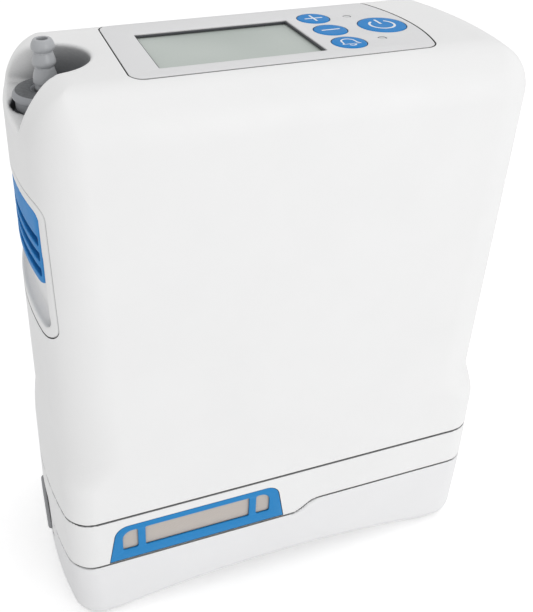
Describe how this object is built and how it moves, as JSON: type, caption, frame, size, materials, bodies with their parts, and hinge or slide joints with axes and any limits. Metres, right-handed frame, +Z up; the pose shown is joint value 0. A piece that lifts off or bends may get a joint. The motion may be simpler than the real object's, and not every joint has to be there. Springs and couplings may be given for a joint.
{
  "type": "portable oxygen concentrator",
  "caption": "Slim portable oxygen concentrator with a slide-on battery, top control panel with display and buttons, barbed outlet nozzle in an open cup, side vent and air intakes.",
  "frame": {"origin": "Middle of the body's footprint, on the ground plane it stands on.", "axes": "+Z up. +X to the right along the body's length, with the outlet nozzle and vent at the -X end and the battery leaving towards +X. +Y to the back; the front face is at -Y."},
  "size_m": [0.1505, 0.068, 0.1884],
  "materials": {
    "body_white": "fine matte texture",
    "battery_white": "fine matte texture",
    "panel_grey": "smooth satin overlay",
    "lcd_glass": "clear window over an unlit display",
    "button_blue": "satin",
    "lens_grey": "translucent",
    "nozzle_grey": "satin",
    "disc_grey": "satin",
    "vent_blue": "satin",
    "intake_blue": "satin",
    "mesh_tan": "woven",
    "black_plastic": "moulded",
    "grey_plastic": "moulded",
    "board_green": "solder mask",
    "rubber_black": "matte",
    "aluminium": "machined",
    "steel": "zinc plated",
    "copper": "wound",
    "gold": "plated",
    "cell_wrap": "shrink sleeve",
    "tube_clear": "translucent"
  },
  "bodies": {
    "housing": {"upper_housing": "body_white", "base_housing": "body_white", "housing_seal": "rubber_black", "chassis": "grey_plastic", "housing_screws": "steel", "chassis_screws": "steel", "control_panel": "panel_grey", "display_window": "lcd_glass", "display_module": "grey_plastic", "display_board": "board_green", "tact_switches": "black_plastic", "indicator_lenses": "lens_grey", "alarm_buzzer": "black_plastic", "cannula_nozzle": "nozzle_grey", "nozzle_base": "disc_grey", "nozzle_seal": "rubber_black", "nozzle_nut": "steel", "vent_bezel": "body_white", "exhaust_grille": "vent_blue", "fan_frame": "black_plastic", "intake_muffler": "grey_plastic", "power_blades": "gold", "pump_mounts": "rubber_black", "pump_crankcase": "aluminium", "cylinder_sleeves": "aluminium", "cylinder_heads": "grey_plastic", "crank_bearing": "steel", "motor_can": "steel", "motor_stator": "copper", "sieve_columns": "aluminium", "column_top_caps": "grey_plastic", "column_bottom_caps": "grey_plastic", "column_seals": "rubber_black", "valve_manifold": "grey_plastic", "solenoid_valves": "steel", "product_tank": "grey_plastic", "oxygen_sensor": "black_plastic", "air_tubes": "tube_clear", "oxygen_tubes": "tube_clear", "main_board": "board_green", "power_inlet": "black_plastic"},
    "battery": {"battery_case": "battery_white", "battery_lid": "battery_white", "battery_cells": "cell_wrap", "battery_board": "board_green", "battery_contacts": "gold"},
    "latch": {"battery_latch": "panel_grey"},
    "plus_button": {"plus_button": "button_blue"},
    "minus_button": {"minus_button": "button_blue"},
    "alert_button": {"alert_button": "button_blue"},
    "power_button": {"power_button": "button_blue"},
    "front_intake": {"intake_frame_front": "intake_blue", "intake_mesh_front": "mesh_tan"},
    "rear_intake": {"intake_frame_rear": "intake_blue", "intake_mesh_rear": "mesh_tan"},
    "fan": {"fan_rotor": "black_plastic"},
    "crank": {"crankshaft": "steel", "motor_rotor": "steel"},
    "pistons": {"piston_yoke": "grey_plastic"}
  },
  "joints": [
    {"name": "plus_press", "type": "slide", "parent": "housing", "child": "plus_button", "axis": [0, 0, -1], "range_m": [0, 0.0005], "stiffness_N_per_m": 2000, "springref_m": -0.0002},
    {"name": "minus_press", "type": "slide", "parent": "housing", "child": "minus_button", "axis": [0, 0, -1], "range_m": [0, 0.0005], "stiffness_N_per_m": 2000, "springref_m": -0.0002},
    {"name": "alert_press", "type": "slide", "parent": "housing", "child": "alert_button", "axis": [0, 0, -1], "range_m": [0, 0.0005], "stiffness_N_per_m": 2000, "springref_m": -0.0002},
    {"name": "power_press", "type": "slide", "parent": "housing", "child": "power_button", "axis": [0, 0, -1], "range_m": [0, 0.0005], "stiffness_N_per_m": 2000, "springref_m": -0.0002},
    {"name": "battery_slide", "type": "slide", "parent": "housing", "child": "battery", "axis": [1, 0, 0], "range_m": [0, 0.155]},
    {"name": "latch_press", "type": "slide", "parent": "housing", "child": "latch", "axis": [1, 0, 0], "range_m": [0, 0.0016], "stiffness_N_per_m": 1500, "springref_m": -0.0005},
    {"name": "front_intake_out", "type": "slide", "parent": "housing", "child": "front_intake", "axis": [0, -1, 0], "range_m": [0, 0.012]},
    {"name": "rear_intake_out", "type": "slide", "parent": "housing", "child": "rear_intake", "axis": [0, 1, 0], "range_m": [0, 0.012]},
    {"name": "fan_spin", "type": "hinge", "parent": "housing", "child": "fan", "pos_m": [-0.061, 0, 0.1377], "axis": [1, 0, 0], "continuous": true},
    {"name": "crank_spin", "type": "hinge", "parent": "housing", "child": "crank", "pos_m": [-0.018, 0, 0.09], "axis": [0, 0, 1], "continuous": true},
    {"name": "piston_slide", "type": "slide", "parent": "housing", "child": "pistons", "axis": [1, 0, 0], "range_m": [-0.003, 0.003]}
  ]
}
